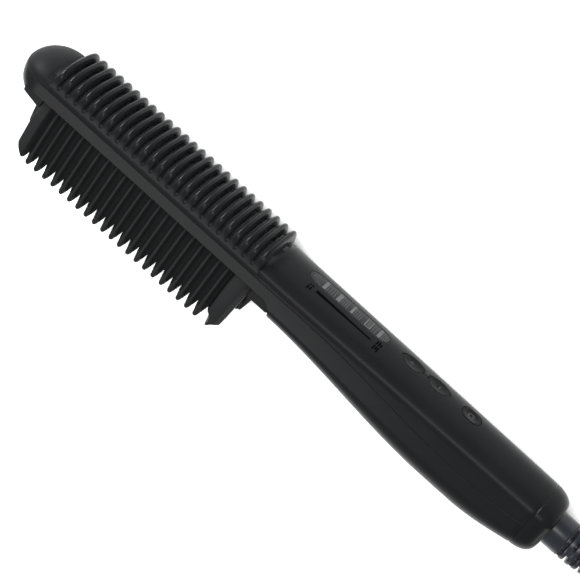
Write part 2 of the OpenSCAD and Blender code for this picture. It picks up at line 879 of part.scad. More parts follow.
module plug_body() {
    color("#17181b") intersection() {
        translate([plug_x + plug_relief_len, 0, 0])
            linear_extrude(height = 2 * plug_z)
                polygon([
                    [0, -7], [6, -12], [14, -plug_w / 2], [plug_len, -plug_w / 2],
                    [plug_len, plug_w / 2], [14, plug_w / 2], [6, 12], [0, 7]
                ]);
        translate([plug_x + plug_relief_len, 0, plug_z])
            rotate([0, 90, 0])
                linear_extrude(height = plug_len)
                    intersection() {
                        square([2 * plug_z, plug_w], center = true);
                        circle(plug_w / 2 + 1);
                    }
    }
}

module plug_pins() {
    color("#b9bcc2") for (s = [-1, 1])
        translate([plug_x + plug_relief_len + plug_len, s * pin_gap / 2, plug_z])
            rotate([0, 90, 0]) {
                cylinder(d = pin_d, h = pin_len - 1);
                translate([0, 0, pin_len - 1])
                    cylinder(d1 = pin_d, d2 = pin_d - 1.4, h = 1);
            }
}

lay_down() upper_housing();
lay_down() lower_housing();
lay_down() end_cap();
lay_down() guard_comb();
lay_down() heated_comb();
lay_down() ceramic_heater();
lay_down() mica_sheet();
lay_down() heater_clamp();
lay_down() thermistor();
lay_down() thermal_fuse();
lay_down() comb_screws();
lay_down() main_board();
lay_down() board_parts();
lay_down() board_screws();
lay_down() tact_switches();
lay_down() display_module();
lay_down() display_window();
lay_down() plus_key();
lay_down() minus_key();
lay_down() power_key();
lay_down() contact_block();
lay_down() heater_leads();
lay_down() supply_leads();
lay_down() swivel_collar();
lay_down() strain_relief();
cord();
cord_hank();
cord_tail();
hank_tie();
plug_relief();
plug_body();
plug_pins();
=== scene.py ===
import bpy
import bmesh
from math import asin, copysign, cos, pi, radians, sin
from mathutils import Matrix, Vector


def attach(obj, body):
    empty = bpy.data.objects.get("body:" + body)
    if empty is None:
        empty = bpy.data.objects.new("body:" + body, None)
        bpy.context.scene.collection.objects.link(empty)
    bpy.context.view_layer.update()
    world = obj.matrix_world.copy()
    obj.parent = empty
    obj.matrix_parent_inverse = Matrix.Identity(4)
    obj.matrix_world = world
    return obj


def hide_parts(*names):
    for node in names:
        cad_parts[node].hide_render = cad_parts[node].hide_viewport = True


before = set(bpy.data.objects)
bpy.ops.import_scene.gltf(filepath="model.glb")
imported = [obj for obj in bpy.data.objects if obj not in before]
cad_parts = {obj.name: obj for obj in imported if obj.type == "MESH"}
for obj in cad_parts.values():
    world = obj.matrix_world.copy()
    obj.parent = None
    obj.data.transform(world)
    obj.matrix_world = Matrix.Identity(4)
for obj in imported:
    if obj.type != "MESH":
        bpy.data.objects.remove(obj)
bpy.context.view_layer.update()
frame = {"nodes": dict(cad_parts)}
scene = bpy.context.scene
print("frame loaded:", len(frame["nodes"]), "nodes")

comb = {  # millimetres, measured from the neck along the handle
    "halfWidth": 16.0, "noseLength": 14.0, "headLength": 122.6, "handleLength": 126.0, "wall": 2.2,
    "top": 9.0, "finTop": 12.9, "toothReach": 34.5, "noseDepth": 13.1, "neckDepth": 15.3, "bellyDepth": 23.6,
    "tailDepth": 19.2, "neckStart": -12.0, "parting": -0.4, "partingDip": 5.5, "sideFlat": 0.5,
    "flank": 0.42, "roundness": 1.9, "taper": 2.2, "capLength": 8.8, "swivelHeight": -3.5,
    "collarLength": 7.2, "reliefLength": 30.0,
}
noseX = -comb["headLength"]
tipX = noseX - comb["noseLength"]
seamX = comb["handleLength"]
endX = seamX + comb["capLength"]
exitX = endX + comb["collarLength"] + comb["reliefLength"]
midX = (tipX + exitX) / 2
midZ = (comb["finTop"] - comb["toothReach"]) / 2
archSteps = 26  # from the side of an outer skin to its middle
innerSteps = 8


def laid(x, y, z):  # a point of the upright comb, placed as the comb lies on its side
    return Vector((x - midX, z - midZ, comb["halfWidth"] - y)) / 1000


def turned(v):  # a direction of the upright comb, as the comb lies on its side
    return Vector((v[0], v[2], -v[1]))


def onAxis(x, z=comb["swivelHeight"]):  # a point of the middle plane, in millimetres of the frame
    return Vector((x - midX, z - midZ, comb["halfWidth"]))


def linked(name, data):  # a new object of the scene
    piece = bpy.data.objects.new(name, data)
    scene.collection.objects.link(piece)
    return piece


cameraView = {  # degrees and metres, for the comb as it stands upright
    "side": 5.65, "height": 30.1, "roll": 39.15, "distance": 0.797, "lens": 128.05, "lookAt": (0, 0, -3.63),
}


def makeCamera(view):
    side, height, roll = (radians(view[k]) for k in ("side", "height", "roll"))
    back = Vector((sin(side) * cos(height), -cos(side) * cos(height), sin(height)))
    level = Vector((cos(side), sin(side), 0))
    up = back.cross(level)
    across = turned(level * cos(roll) + up * sin(roll))
    along = turned(up * cos(roll) - level * sin(roll))
    back = turned(back)
    camera = linked("camera", bpy.data.cameras.new("camera"))
    camera.data.lens = view["lens"]
    camera.data.clip_start, camera.data.clip_end = 0.01, 20
    spot = laid(*view["lookAt"]) + back * view["distance"]
    camera.matrix_world = Matrix((
        (across.x, along.x, back.x, spot.x),
        (across.y, along.y, back.y, spot.y),
        (across.z, along.z, back.z, spot.z),
        (0, 0, 0, 1),
    ))
    scene.camera = camera


makeCamera(cameraView)
print("camera placed")


def reshape(mesh, change):
    work = bmesh.new()
    work.from_mesh(mesh)
    change(work)
    work.to_mesh(mesh)
    work.free()


def faceOutwards(work):
    bmesh.ops.recalc_face_normals(work, faces=work.faces)


def addMesh(name, points, faces, smooth=40):
    mesh = bpy.data.meshes.new(name)
    mesh.from_pydata([tuple(p) for p in points], [], faces)
    mesh.validate()
    reshape(mesh, faceOutwards)
    return softShade(linked(name, mesh), smooth)


def softShade(piece, angle):  # smooth shading, with creases sharper than the angle kept
    def shade(work):
        for edge in work.edges:
            edge.smooth = len(edge.link_faces) == 2 and edge.calc_face_angle(0) < radians(angle)
        for face in work.faces:
            face.smooth = True

    reshape(piece.data, shade)
    return piece


def loftFaces(ringCount, size, closedRing=True):
    faces = []
    for k in range(ringCount - 1):
        for i in range(size if closedRing else size - 1):
            j = (i + 1) % size
            faces.append((k * size + i, k * size + j, (k + 1) * size + j, (k + 1) * size + i))
    return faces


def loft(name, rings, capFirst=True, capLast=True, smooth=40):
    size = len(rings[0])
    points = [p for ring in rings for p in ring]
    faces = loftFaces(len(rings), size)
    if capFirst:
        faces.append(tuple(reversed(range(size))))
    if capLast:
        faces.append(tuple(range((len(rings) - 1) * size, len(rings) * size)))
    return addMesh(name, points, faces, smooth)


def shellLoft(name, rings, smooth):  # an outer arch, then an inner one back
    size = len(rings[0])
    outerCount = 2 * archSteps + 5
    innerCount = size - outerCount
    points = [p for ring in rings for p in ring]
    faces = loftFaces(len(rings), size)
    for start in (0, (len(rings) - 1) * size):
        k = 0
        for i in range(outerCount - 1):
            target = round((i + 1) * (innerCount - 1) / (outerCount - 1))
            faces.append((start + i, start + i + 1, start + size - 1 - k))
            while k < target:
                faces.append((start + i + 1, start + size - 2 - k, start + size - 1 - k))
                k += 1
    return addMesh(name, points, faces, smooth)


def applyModifiers(piece):
    graph = bpy.context.evaluated_depsgraph_get()
    mesh = bpy.data.meshes.new_from_object(piece.evaluated_get(graph))
    piece.modifiers.clear()
    piece.data = mesh


def cut(piece, cutters):
    for cutter in cutters:
        modifier = piece.modifiers.new("cut", "BOOLEAN")
        modifier.operation = "DIFFERENCE"
        modifier.solver = "EXACT"
        modifier.object = cutter
    applyModifiers(piece)
    for cutter in cutters:
        bpy.data.objects.remove(cutter)


def rounded(piece, width, segments=2, angle=40, harden=True):
    modifier = piece.modifiers.new("round", "BEVEL")
    modifier.width = width / 1000
    modifier.segments = segments
    modifier.limit_method = "ANGLE"
    modifier.angle_limit = radians(angle)
    modifier.harden_normals = harden
    return piece


def bevelled(piece, width, segments=2):
    applyModifiers(rounded(piece, width, segments, 35, False))
    return softShade(piece, 30)


def joined(name, parts):
    work = bmesh.new()
    for part in parts:
        work.from_mesh(part.data)
        bpy.data.objects.remove(part)
    mesh = bpy.data.meshes.new(name)
    work.to_mesh(mesh)
    work.free()
    return linked(name, mesh)


def rectangle(x0, y0, x1, y1):
    return [(x0, y0), (x1, y0), (x1, y1), (x0, y1)]


def slab(name, outline, low, high, smooth=35):  # an outline in x and y, raised from low to high
    rings = [[laid(x, y, z) for x, y in outline] for z in (low, high)]
    return loft(name, rings, smooth=smooth)


def block(name, low, high):
    return slab(name, rectangle(*low[:2], *high[:2]), low[2], high[2])


def within(share):  # kept between 0 and 1
    return max(0.0, min(1.0, share))


def ease(x, a, b):  # rises from 0 at a to 1 at b, soft at both ends
    return 0.5 - 0.5 * cos(pi * within((x - a) / (b - a)))


def drop(x, a, b):  # rises from 0 at a to 1 at b, soft at a only
    return 1 - cos(pi / 2 * within((x - a) / (b - a)))


def ahead(x):  # share of the nose that lies behind x
    return within((noseX - x) / comb["noseLength"])


def nosed(x, power):  # share of a width or height that is left where the nose rounds off
    return max(0.0, 1 - ahead(x) ** power) ** (1 / power)


nosePowers = {"width": 2.28, "top": 1.77, "depth": 2.65}  # 2 is an ellipse, and more is fuller


def halfAt(x):
    return comb["halfWidth"] * nosed(x, nosePowers["width"]) - comb["taper"] * within(x / seamX)


def topAt(x):
    return comb["top"] * nosed(x, nosePowers["top"])


bellyX = 0.78 * seamX
deepX = 0.68 * seamX


def depthAt(x):
    if x < noseX + 1:
        return comb["noseDepth"] * nosed(x, nosePowers["depth"])
    if x < comb["neckStart"]:
        return comb["noseDepth"]
    swell = (comb["bellyDepth"] - comb["neckDepth"]) * ease(x, -5, deepX)
    return comb["neckDepth"] + swell - (comb["bellyDepth"] - comb["tailDepth"]) * drop(x, bellyX, seamX)


def partingAt(x):
    dip = comb["partingDip"]
    return comb["parting"] - dip * ease(x, 0.08 * seamX, bellyX) + 0.44 * dip * drop(x, bellyX, seamX)


def superPoint(a, b, n, turn):
    c, s = max(0.0, cos(turn)), max(0.0, sin(turn))
    return a * c ** (2 / n), b * s ** (2 / n)


seamGroove = {"depth": 0.22, "height": 0.3}  # small chamfers where the housings meet


def quarter(a, shoulder, crown, power, steps):  # from the side to the middle
    points = [superPoint(a, crown - shoulder, power, pi / 2 * i / steps) for i in range(steps + 1)]
    return [(y, shoulder + z) for y, z in points]


def mirrored(right):
    return right + [(-y, z) for y, z in reversed(right[:-1])]


def arch(a, foot, shoulder, crown, power, chamfer=1.0):  # from foot over crown to foot
    step = seamGroove["height"] * (1 if crown > foot else -1) * chamfer
    if abs(shoulder - foot) < abs(step) * 1.2:
        step = (shoulder - foot) * 0.6
    start = [(a - seamGroove["depth"] * chamfer, foot), (a, foot + step)]
    return mirrored(start + quarter(a, shoulder, crown, power, archSteps))


def shellRing(x, outer, inner):
    return [laid(x, y, z) for y, z in outer] + [laid(x, y, z) for y, z in reversed(inner)]


def innerArch(a, foot, shoulder, crown):
    return mirrored([(a, foot)] + quarter(a, shoulder, crown, comb["roundness"], innerSteps))


def innerLine(a, z):  # closes a skin flat, with as many points as an inner arch
    count = 2 * innerSteps + 2
    return [(a * 0.8 * (1 - 2 * i / count), z) for i in range(count + 1)]


def surfaceAt(x, y):  # height of the handle's upper side above the parting plane
    rise, power = comb["top"] - comb["sideFlat"], comb["roundness"]
    return comb["sideFlat"] + rise * (1 - min(1, abs(y) / halfAt(x)) ** power) ** (1 / power)


def lathe(name, profile, origin, axis=(1, 0, 0), sides=48, smooth=40):  # (along, radius) pairs
    along = Vector(axis)
    side = along.orthogonal().normalized()
    other = along.cross(side)
    rings = []
    for step, radius in profile:
        rings.append([
            (Vector(origin) + along * step + (side * cos(t) + other * sin(t)) * radius) / 1000
            for t in (2 * pi * i / sides for i in range(sides))
        ])
    return loft(name, rings, smooth=smooth)


class Wire:  # a shader socket that takes part in sums
    def __init__(self, shader, socket):
        self.shader = shader
        self.socket = socket

    def math(self, operation, *others):
        return self.shader.sums(operation, self, *others)

    def __add__(self, other):
        return self.math("ADD", other)

    def __radd__(self, other):
        return self.shader.sums("ADD", other, self)

    def __sub__(self, other):
        return self.math("SUBTRACT", other)

    def __rsub__(self, other):
        return self.shader.sums("SUBTRACT", other, self)

    def __mul__(self, other):
        return self.math("MULTIPLY", other)

    def __rmul__(self, other):
        return self.shader.sums("MULTIPLY", other, self)

    def __pow__(self, other):
        return self.math("POWER", other)


class Shader:  # one procedural material
    def __init__(self, name):
        self.material = bpy.data.materials.new(name)
        self.material.use_nodes = True
        self.tree = self.material.node_tree
        self.surface = self.tree.nodes["Principled BSDF"]

    def feed(self, socket, value):
        if isinstance(value, Wire):
            self.tree.links.new(value.socket, socket)
        else:
            socket.default_value = value

    def node(self, kind, settings=None, sockets=None, output=0):
        node = self.tree.nodes.new(kind)
        for name, value in (settings or {}).items():
            setattr(node, name, value)
        for name, value in (sockets or {}).items():
            self.feed(node.inputs[name], value)
        return Wire(self, node.outputs[output])

    def sums(self, operation, *values):
        return self.node("ShaderNodeMath", {"operation": operation}, dict(enumerate(values)))

    def ramp(self, value, low, high, start=0.0, end=1.0):
        sockets = {0: value, 1: low, 2: high, 3: start, 4: end}
        return self.node("ShaderNodeMapRange", {"clamp": True}, sockets)

    def place(self):
        return self.node("ShaderNodeTexCoord", output="Object")

    def noise(self, scale, detail=3.0, roughness=0.55, stretch=None):
        place = self.place()
        if stretch:
            place = self.node("ShaderNodeVectorMath", {"operation": "MULTIPLY"}, {0: place, 1: stretch})
        return self.node("ShaderNodeTexNoise", {}, {
            "Vector": place, "Scale": scale, "Detail": detail, "Roughness": roughness,
        })

    def blend(self, amount, first, second):
        node = self.tree.nodes.new("ShaderNodeMix")
        node.data_type = "RGBA"
        self.feed(node.inputs[0], amount)
        self.feed(node.inputs[6], first)
        self.feed(node.inputs[7], second)
        return Wire(self, node.outputs[2])

    def bump(self, height, strength, distance):
        sockets = {"Height": height, "Strength": strength, "Distance": distance}
        self.feed(self.surface.inputs["Normal"], self.node("ShaderNodeBump", {}, sockets))

    def set(self, **sockets):
        for name, value in sockets.items():
            self.feed(self.surface.inputs[socketNames[name]], value)
        return self


socketNames = {
    "color": "Base Color", "roughness": "Roughness", "metallic": "Metallic", "sheen": "Sheen Weight",
    "specular": "Specular IOR Level",
}


def tone(level, blue=0.0):
    return (level * (1 - 0.5 * blue), level, level * (1 + blue), 1)


def mouldedPlastic(name, finish, regions=None):
    shader = Shader(name)
    cloud = shader.noise(38.0, 4.0)
    fine = shader.noise(2600.0, 2.0, 0.6)
    speck = shader.noise(900.0, 3.0, 0.7)
    level, blue = finish["level"], finish["blue"]
    color = shader.blend(cloud, tone(level * 0.86, blue), tone(level * 1.14, blue))
    rough = finish["rough"] - 0.04 + cloud * 0.06 + speck * 0.03
    if regions:
        color, rough = regions(shader, color, rough)
    shader.set(color=color, roughness=rough, specular=finish["specular"])
    shader.bump(fine * 0.7 + speck * 0.3, finish["grain"], 0.00004)
    return shader


def grained(name, noise, low, high, rough, bump=None, **others):  # one noise drives tone, roughness and bump
    shader = Shader(name)
    grain = shader.noise(*noise)
    least, change = rough
    roughness = least + grain * change if change else least
    shader.set(color=shader.blend(grain, low, high), roughness=roughness, **others)
    if bump:
        shader.bump(grain, *bump)
    return shader


def brushedMetal(name, level, rough):
    low, high = tone(level * 0.85), tone(level * 1.15)
    grain = (900.0, 3.0, 0.6, (0.1, 1, 1))
    return grained(name, grain, low, high, (rough - 0.05, 0.14), (0.2, 0.00005), metallic=1.0)


def mottled(name, low, high, scale, rough):
    return grained(name, (scale, 4.0), low, high, (rough - 0.05, 0.1), (0.3, 0.0001))


def printedInk(name, low, high, scale, rough, worn=0.0):
    return grained(name, (scale, 3.0), tone(low), tone(high), (rough, worn), specular=0.0)


def paint(piece, shader):
    for slot in piece.material_slots:
        slot.material = shader.material
    if not piece.material_slots:
        piece.data.materials.append(shader.material)
    return piece


def settle(piece, shader, slot, *nodes, body="comb_body"):
    paint(piece, shader)
    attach(piece, body)
    if nodes:
        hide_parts(*nodes)
    return piece


cordSizes = {  # millimetres
    "diameter": 6.0, "runOut": 86.0, "hankLength": 136.0, "hankWidth": 44.0, "hankHeight": 30.0, "tie": 0.8,
    "tail": 30.0, "loops": 4, "foldRadius": 18.9, "enter": 54.0, "leave": 56.0, "fall": (28.0, 96.0),
}
cordExit = onAxis(exitX)
hankX = cordExit.x + cordSizes["runOut"]
hankEnd = hankX + cordSizes["hankLength"]
cordRoute = [
    (-12, 0, 0), (-6, 0, 0), (0, 0, 0), (10, 0, -0.3), (20, -0.3, -1.5), (30, -1, -3.8), (41, -2, -7),
    (52, -3, -10), (63, -4, -12), (72, -4.6, -12.8), (79, -5, -12.2), (86, -5, -12.2),
]
tailRoute = [(5, 0), (10, 0.9), (15, 2.3), (20, 3.5), (25, 4), (30, 4), (36, 4)]


def halfTurn(centreX, start, radius, z):
    turns = [pi * (i / 24 + start) for i in range(1, 25)]
    return [(centreX + radius * cos(turn), radius * sin(turn), z) for turn in turns]


def hankPoints(sizes):  # folded loops that climb one on another, and then fall to the floor
    wire, fold, enterX = sizes["diameter"], sizes["foldRadius"], hankX + sizes["enter"]
    low = sizes["tie"] + wire / 2
    leftX = hankX + sizes["hankWidth"] / 2
    rightX = hankEnd - sizes["hankWidth"] / 2
    enterY = cordExit.y + cordRoute[-1][1]
    points = []
    for i in range(1, 13):
        x = hankX + (rightX - hankX) * i / 12
        y = enterY - (enterY + fold) * ease(x, hankX, enterX)
        points.append((x, y, low + wire * ease(x, enterX, rightX)))
    for k in range(1, sizes["loops"] + 1):
        z = low + k * wire
        points += halfTurn(rightX, -0.5, fold, z)
        points += [(rightX + (leftX - rightX) * i / 8, fold, z) for i in range(1, 9)]
        points += halfTurn(leftX, 0.5, fold, z)
        if k < sizes["loops"]:
            for i in range(1, 9):
                x = leftX + (rightX - leftX) * i / 8
                points.append((x, -fold, z + wire * ease(x, leftX, rightX)))
    fallStart, fallEnd = (leftX + reach for reach in sizes["fall"])
    for i in range(1, 21):
        x = leftX + (hankEnd - leftX) * i / 20
        y = fold * ease(x, leftX, leftX + sizes["leave"]) - fold
        points.append((x, y, z - (z - low) * ease(x, fallStart, fallEnd)))
    return points


def makeCord(sizes):
    points = [(cordExit.x + x, cordExit.y + y, cordExit.z + z) for x, y, z in cordRoute]
    points += hankPoints(sizes)
    low = sizes["tie"] + sizes["diameter"] / 2
    points += [(hankEnd + x, 0, low + z) for x, z in tailRoute]
    curve = bpy.data.curves.new("cord", "CURVE")
    curve.dimensions = "3D"
    curve.bevel_depth = sizes["diameter"] / 2000
    curve.bevel_resolution = 5
    curve.use_fill_caps = True
    spline = curve.splines.new("POLY")
    spline.points.add(len(points) - 1)
    for point, place in zip(spline.points, points):
        point.co = (place[0] / 1000, place[1] / 1000, place[2] / 1000, 1)
    spline.use_smooth = True
    length = sum((Vector(a) - Vector(b)).length for a, b in zip(points, points[1:])) / 1000
    print("cord length", round(length, 3))
    return linked("mainsCord", curve), length


cordPlastic = mouldedPlastic("cordPlastic", {
    "level": 0.006, "blue": 0.4, "rough": 0.34, "grain": 0.25, "specular": 0.25,
})
cordPiece, cordLength = makeCord(cordSizes)
settle(cordPiece, cordPlastic, "cord", "cord", "cord_hank", "cord_tail")

tieSizes = {"width": 8.0, "corner": 4.0, "dip": 0.7, "edge": 0.12}


def makeTie(sizes, cordSizes):
    thick, corner = cordSizes["tie"], sizes["corner"]
    middle = (hankX + hankEnd) / 2
    wide, high = cordSizes["hankWidth"] / 2 + thick, cordSizes["hankHeight"] + 2 * thick
    loop = []
    for cornerX, cornerZ, start in ((1, 0, -90), (1, 1, 0), (-1, 1, 90), (-1, 0, 180)):
        for i in range(7):
            turn = radians(start + 15 * i)
            centreZ = corner if cornerZ == 0 else high - corner
            loop.append((cornerX * (wide - corner), centreZ, cos(turn), sin(turn)))
        if (cornerX, cornerZ) == (1, 1):
            loop += [(y, high - corner - sizes["dip"] * (1 - (y / wide) ** 2), 0, 1) for y in (9, 0, -9)]
    half, edge = sizes["width"] / 2, sizes["edge"]
    flat = half - 0.2
    section = [(-half, edge), (-flat, 0), (flat, 0), (half, edge),
               (half, thick - edge), (flat, thick), (-flat, thick), (-half, thick - edge)]
    rings = []
    for y, z, outY, outZ in loop:
        ring = []
        for x, depth in section:
            reach = corner - depth
            ring.append(Vector((middle + x, y + outY * reach, z + outZ * reach)) / 1000)
        rings.append(ring)
    rings.append(rings[0])
    piece = loft("hankTie", rings, False, False)
    reshape(piece.data, lambda work: bmesh.ops.remove_doubles(work, verts=work.verts, dist=1e-6))
    reshape(piece.data, faceOutwards)
    return softShade(piece, 40)


strap = grained("tieStrap", (1500.0, 4.0, 0.8), tone(0.006), tone(0.022), (0.9, 0), (0.8, 0.0002), sheen=0.15)
hankTie = settle(makeTie(tieSizes, cordSizes), strap, "tie", "hank_tie")

plugSizes = {
    "relief": 16.0, "length": 34.0, "width": 34.0, "roundness": 3.4, "grip": 0.5, "halfHeight": 7.8,
    "pin": 4.0, "pinLength": 19.0, "pinGap": 19.0, "pinRound": 1.6,
}
plugX = hankEnd + cordSizes["tail"]
plugZ = cordSizes["tie"] + cordSizes["diameter"] / 2 + 4


def makePlugRelief(sizes):
    profile = [(0, 3.15), (0, 3.5), (0.25, 3.7)]
    for i in range(5):
        x = 1.6 + i * 2.8
        radius = 3.7 + 0.085 * x
        profile += [(x, radius), (x + 0.15, radius - 0.1), (x + 0.25, 3.35), (x + 1.15, 3.35),
                    (x + 1.25, radius - 0.05), (x + 1.4, radius + 0.05)]
    profile += [(sizes["relief"], 5.0), (sizes["relief"], 3.15)]
    return lathe("plugRelief", profile, (plugX, 0, plugZ))


def makePlugBody(sizes):
    start = plugX + sizes["relief"]
    half, flat = sizes["width"] / 2, sizes["halfHeight"]
    sections = [
        (0, 6.4, 5.2), (0.3, 7.0, 5.6), (3, 9.2, 6.2), (6, 11.6, 6.8), (10, 14.6, 7.4), (14, 16.6, 7.7),
        (16, half, 7.78),
    ]
    for i in range(5):
        x = 18 + i * 2.2
        sunk = half - sizes["grip"]
        sections += [(x, half, flat), (x + 0.3, sunk, flat), (x + 1.1, sunk, flat), (x + 1.4, half, flat)]
    sections += [(31.6, half, flat), (33.0, half - 0.3, 7.5), (33.7, half - 0.8, 7.0), (34, half - 1.6, 6.2)]
    power = 2 / sizes["roundness"]
    rings = []
    for x, wide, high in sections:
        ring = []
        for i in range(64):
            turn = 2 * pi * i / 64
            c, s = cos(turn), sin(turn)
            y = copysign(abs(c) ** power * wide, c)
            z = copysign(abs(s) ** power * high, s)
            ring.append(Vector((start + x, y, plugZ + z)) / 1000)
        rings.append(ring)
    return loft("plugBody", rings)


def makePins(sizes):
    start = plugX + sizes["relief"] + sizes["length"]
    r, tip = sizes["pin"] / 2, sizes["pinRound"]
    shank = sizes["pinLength"] - tip
    profile = [(-1, r + 0.45), (0.12, r + 0.45), (0.3, r + 0.2), (0.3, r), (shank, r)]
    for turn in (0.3, 0.6, 0.9, 1.2, 1.5):
        profile.append((shank + tip * sin(turn), 0.2 + (r - 0.2) * cos(turn)))
    places = [(start, side * sizes["pinGap"] / 2, plugZ) for side in (-1, 1)]
    return softShade(joined("plugPins", [lathe("pin", profile, place) for place in places]), 50)


plugPlastic = mouldedPlastic("plugPlastic", {
    "level": 0.007, "blue": 0.1, "rough": 0.4, "grain": 0.4, "specular": 0.2,
})
drawn = (500.0, 3.0, 0.6, (0.04, 1, 1))
pinMetal = grained("pinMetal", drawn, tone(0.55), tone(0.72), (0.2, 0.16), (0.12, 0.00003), metallic=1.0)
plugRelief = settle(makePlugRelief(plugSizes), cordPlastic, "plug", "plug_relief")
plugBody = settle(makePlugBody(plugSizes), plugPlastic, "plug", "plug_body")
plugPins = settle(makePins(plugSizes), pinMetal, "pin", "plug_pins")
print("cord, tie and plug made")

floorSizes = {"side": 6.0}


def makeFloor(sizes):
    half = sizes["side"] / 2
    points = [(x, y, 0) for x, y in rectangle(-half, -half, half, half)]
    return addMesh("floor", points, [(0, 1, 2, 3)])


floorPaper = grained(
    "floorPaper", (220.0, 4.0), tone(0.86), tone(0.9), (0.75, 0), (0.05, 0.0002), specular=0.2,
)
floor = paint(makeFloor(floorSizes), floorPaper)

housingFinish = {"level": 0.005, "blue": 0.08, "rough": 0.29, "grain": 0.3, "specular": 0.055}
housingPlastic = mouldedPlastic("housingPlastic", housingFinish)

ribs = {
    "pitch": 4.36, "first": noseX + 4.1, "count": 25, "crown": comb["finTop"], "valley": 8.6, "shoulder": 2.3,
    "reach": 1.75, "crestPower": 2.7, "valleyPower": 1.9, "sidePower": 2.4, "risePower": 1.6, "steps": 7,
}
# the valley tone is painted light: a paler colour that brightens the shaded valleys between the fins
ribTones = {"groove": 0.019, "foot": 15.5, "noseRough": 0.22, "polish": 0.09}


def ribRegions(shader, color, rough):  # painted light in the valleys between the fins, smoother crests and a dull nose
    place = shader.place()
    along = shader.node("ShaderNodeSeparateXYZ", {}, {0: place}, 0) * 1000.0
    height = shader.node("ShaderNodeSeparateXYZ", {}, {0: place}, 1) * 1000.0
    wave = ((along - (ribs["first"] - midX)) * (2 * pi / ribs["pitch"])).math("COSINE")
    noseEdge = ribs["first"] - 1.6 - midX
    nose = shader.ramp(along, noseEdge - 1.2, noseEdge, 1.0, 0.0)
    finned = shader.ramp(height, ribTones["foot"], ribTones["foot"] + 3.0) * (1 - nose)
    # painted light: mask of the shaded valleys between the fins, which get the paler tone
    groove = (0.5 - wave * 0.5) ** 1.5 * finned
    color = shader.blend(groove, color, tone(ribTones["groove"], housingFinish["blue"]))
    return color, rough + nose * ribTones["noseRough"] - finned * ribTones["polish"]


ribbedPlastic = mouldedPlastic("ribbedPlastic", housingFinish, ribRegions)
splitX = -9.0


def noseStations(count):  # closer together towards the tip
    turns = [radians(89.6 - 89.6 * i / count) for i in range(count)]
    return [noseX - comb["noseLength"] * sin(turn) for turn in turns]


def crownArch(a, foot, crown):
    return innerArch(a - comb["wall"], foot, 0.3, crown - comb["wall"])


def ribbedRing(x, share, sizes):
    a, foot = comb["halfWidth"], comb["parting"]
    crown = sizes["valley"] + (sizes["crown"] - sizes["valley"]) * share
    power = sizes["valleyPower"] + (sizes["crestPower"] - sizes["valleyPower"]) * share
    outer = arch(a, foot, sizes["shoulder"], crown, power)
    return shellRing(x, outer, crownArch(a, foot, sizes["valley"]))


def plainRing(x, inset=0.0):
    a = halfAt(x) - inset
    foot = partingAt(x)
    outer = arch(a, foot, comb["sideFlat"], comb["top"] - inset, comb["roundness"])
    return shellRing(x, outer, crownArch(a, foot, comb["top"]))


def noseRing(x):
    a, foot, share = halfAt(x), comb["parting"], ahead(x)
    shoulder = comb["sideFlat"] * (1.2 - share)
    outer = arch(a, foot, shoulder, topAt(x), comb["roundness"], 1 - 0.8 * share)
    return shellRing(x, outer, innerLine(a, foot))


def makeRibbedHead(sizes):
    rings = [noseRing(x) for x in noseStations(26)] + [noseRing(noseX)]
    rings += [plainRing(noseX + 0.15), plainRing(sizes["first"] - sizes["reach"] - 0.25)]
    steps = sizes["steps"]
    for i in range(sizes["count"]):
        centre = sizes["first"] + i * sizes["pitch"]
        for k in range(-steps, steps + 1):
            turn = pi / 2 * (1 - abs(k) / steps)
            offset = copysign(sizes["reach"] * cos(turn) ** (2 / sizes["sidePower"]), k)
            share = 0 if abs(k) == steps else sin(turn) ** (2 / sizes["risePower"])
            rings.append(ribbedRing(centre + offset, share, sizes))
    last = sizes["first"] + (sizes["count"] - 1) * sizes["pitch"] + sizes["reach"]
    rings += [plainRing(last + 0.2), plainRing(splitX)]
    return shellLoft("ribbedHead", rings, 60)


openings = {  # the window as start, end and half width, and the keys as length and width
    "window": (2.0, 42.0, 3.9), "windowEnds": (6.0, 4.6), "boss": 61.0, "arrow": (11.6, 7.5),
    "power": (9.0, 7.5), "powerX": 84.2, "gap": 0.3, "windowFoot": 6.6,
}
plusX = openings["boss"] - openings["arrow"][0] / 2 - 0.6
minusX = openings["boss"] + openings["arrow"][0] / 2 + 0.6
powerX = openings["powerX"]


def windowOutline(grow):  # straight sides between two drawn-out ends
    x0, x1, r = openings["window"]
    nose, tail = openings["windowEnds"]
    points = []
    for centre, reach, start in ((x0 + nose, nose + grow, 0.5), (x1 - tail, tail + grow, -0.5)):
        for i in range(17):
            t = pi * (i / 16 + start)
            y = (r + grow) * copysign(abs(sin(t)) ** 0.8, sin(t))
            points.append((centre + reach * cos(t), y))
    return points


def windowHalf(x):
    x0, x1, r = openings["window"]
    nose, tail = openings["windowEnds"]
    out = within(max((x0 + nose - x) / nose, (x - x1 + tail) / tail))
    return r * (1 - out ** 2) ** 0.4


def lensOutline(centre, length, width, count=16):
    r = (length ** 2 + width ** 2) / (4 * width)
    half = asin(length / 2 / r)
    points = []
    for side in (1, -1):
        for i in range(count):
            t = side * (half - 2 * half * i / count)
            points.append((centre + r * sin(t), side * (width / 2 - r + r * cos(t))))
    return points


def powerOutline(centre, length, width):
    r = length / 2
    edge = asin(width / 2 / r)
    turns = [edge * (i / 5 - 1) for i in range(11)]
    right = [(centre + r * cos(t), r * sin(t)) for t in turns]
    return right + [(2 * centre - x, y) for x, y in reversed(right)]


